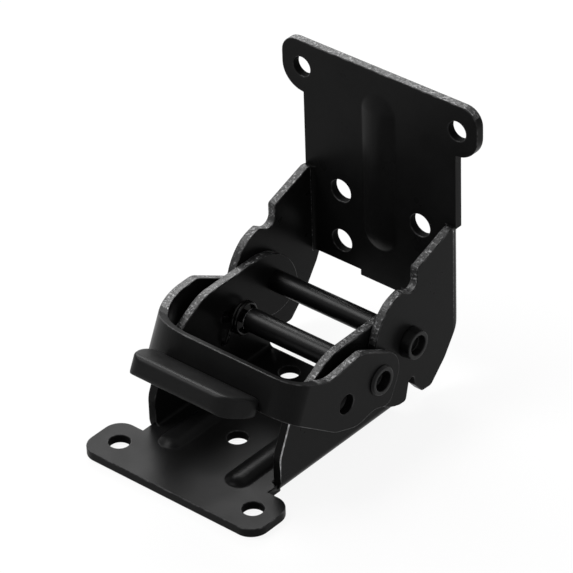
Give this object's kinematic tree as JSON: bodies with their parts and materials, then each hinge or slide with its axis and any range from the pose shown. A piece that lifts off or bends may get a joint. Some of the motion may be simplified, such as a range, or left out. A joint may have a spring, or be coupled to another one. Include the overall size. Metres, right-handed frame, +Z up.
{
  "type": "folding bracket",
  "caption": "Self-locking folding leg bracket in black sheet steel: a base channel and a leg channel turn on a pin, held by a sprung lock bar that a latch bow with a plastic grip moves.",
  "frame": {"origin": "on the base bracket's mounting face, midway between the front screw holes", "axes": "+X to the right along the pivot pin, +Y from the base bracket's front edge back to the leg plate, +Z up out of the mounting face along the open leg plate"},
  "size_m": [0.0564, 0.078, 0.0731],
  "materials": {
    "coated_sheet": "black satin powder coat",
    "grip_plastic": "black moulded plastic, fine satin",
    "dark_turned_steel": "black, glossier than the sheet",
    "spring_wire": "black drawn wire"
  },
  "bodies": {
    "base": {"base_bracket": "coated_sheet", "pivot_pin": "dark_turned_steel", "pivot_sleeve": "dark_turned_steel", "pivot_collar_left": "dark_turned_steel", "pivot_collar_right": "dark_turned_steel"},
    "leg": {"leg_bracket": "coated_sheet"},
    "lock_bar": {"lock_pin": "dark_turned_steel", "lock_sleeve": "dark_turned_steel", "lock_collar_left": "dark_turned_steel", "lock_collar_right": "dark_turned_steel", "latch_spring": "spring_wire"},
    "latch": {"latch_yoke": "coated_sheet", "grip_sleeve": "grip_plastic"}
  },
  "joints": [
    {"name": "leg_fold", "type": "hinge", "parent": "base", "child": "leg", "pos_m": [0, 0.052, 0.019], "axis": [1, 0, 0], "range_deg": [0, 90]},
    {"name": "lock_bar_slide", "type": "slide", "parent": "base", "child": "lock_bar", "axis": [0, -0.9397, 0.342], "range_m": [0, 0.0046], "deforming": ["latch_spring"]},
    {"name": "latch_tilt", "type": "hinge", "parent": "lock_bar", "child": "latch", "pos_m": [0, 0.0389, 0.0168], "axis": [1, 0, 0], "range_deg": [0, 10]}
  ],
  "couplings": [
    {"joint": "lock_bar_slide", "follows": "leg_fold", "m_per_rad": 0.0029284},
    {"joint": "latch_tilt", "follows": "leg_fold", "ratio": 0.1111}
  ]
}
